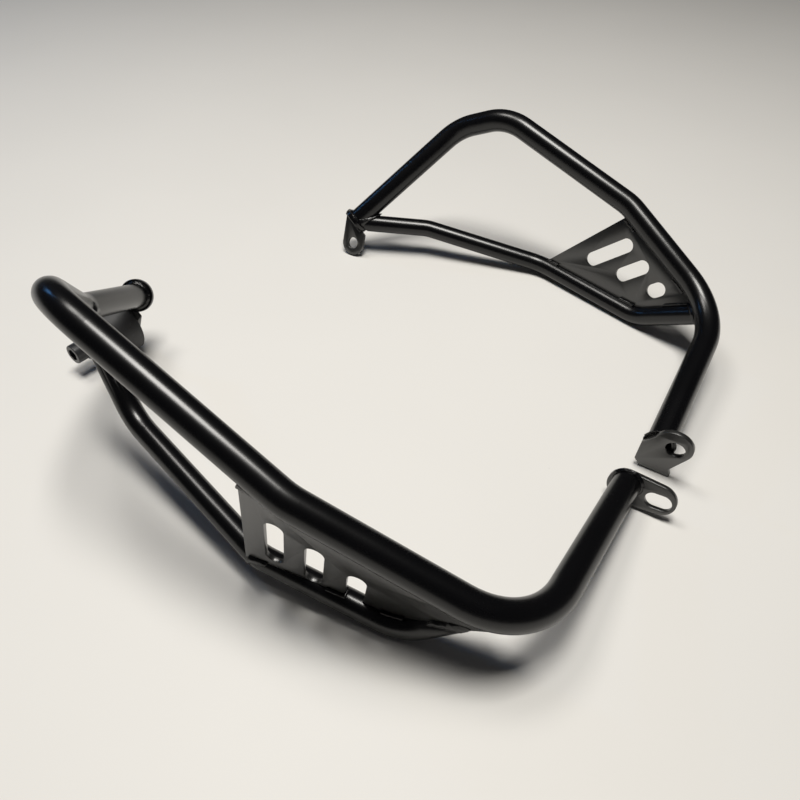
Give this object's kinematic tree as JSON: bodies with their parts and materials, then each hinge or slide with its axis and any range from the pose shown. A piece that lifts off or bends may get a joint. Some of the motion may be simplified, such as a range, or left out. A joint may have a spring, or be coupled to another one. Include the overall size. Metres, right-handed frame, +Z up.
{
  "type": "motorcycle crash bars",
  "caption": "Welded steel-tube crash bars for both sides of a motorcycle engine, with brace tubes, slotted gusset plates and mounting tabs.",
  "frame": {"origin": "middle of the pair's outline in plan, at the height of the table the bars lie on", "axes": "+X to the right and +Y away from the viewer as in the picture, +Z up from the table"},
  "size_m": [0.6968, 0.643, 0.2301],
  "materials": {
    "tube_paint": "satin black powder coat",
    "plate_paint": "satin black powder coat",
    "weld_paint": "satin black powder coat over weld beads",
    "spacer_black": "matt black anodised",
    "fastener_black": "black oxide"
  },
  "bodies": {
    "root": {"right_main_tube": "tube_paint", "right_brace_tube": "tube_paint", "right_gusset_plate": "plate_paint", "right_upper_end_disc": "plate_paint", "right_upper_tab": "plate_paint", "right_lower_end_plate": "plate_paint", "right_upper_disc_weld": "weld_paint", "right_upper_tab_weld": "weld_paint", "right_lower_plate_weld": "weld_paint", "right_brace_start_weld": "weld_paint", "right_brace_end_weld": "weld_paint", "right_gusset_welds": "weld_paint", "left_main_tube": "tube_paint", "left_brace_tube": "tube_paint", "left_gusset_plate": "plate_paint", "left_upper_end_disc": "plate_paint", "left_upper_tab": "plate_paint", "left_lower_end_plate": "plate_paint", "left_upper_disc_weld": "weld_paint", "left_upper_tab_weld": "weld_paint", "left_lower_plate_weld": "weld_paint", "left_brace_start_weld": "weld_paint", "left_brace_end_weld": "weld_paint", "left_gusset_welds": "weld_paint", "left_mounting_spacer": "spacer_black", "left_mounting_washer": "fastener_black", "left_mounting_bolt": "fastener_black"}
  },
  "joints": []
}
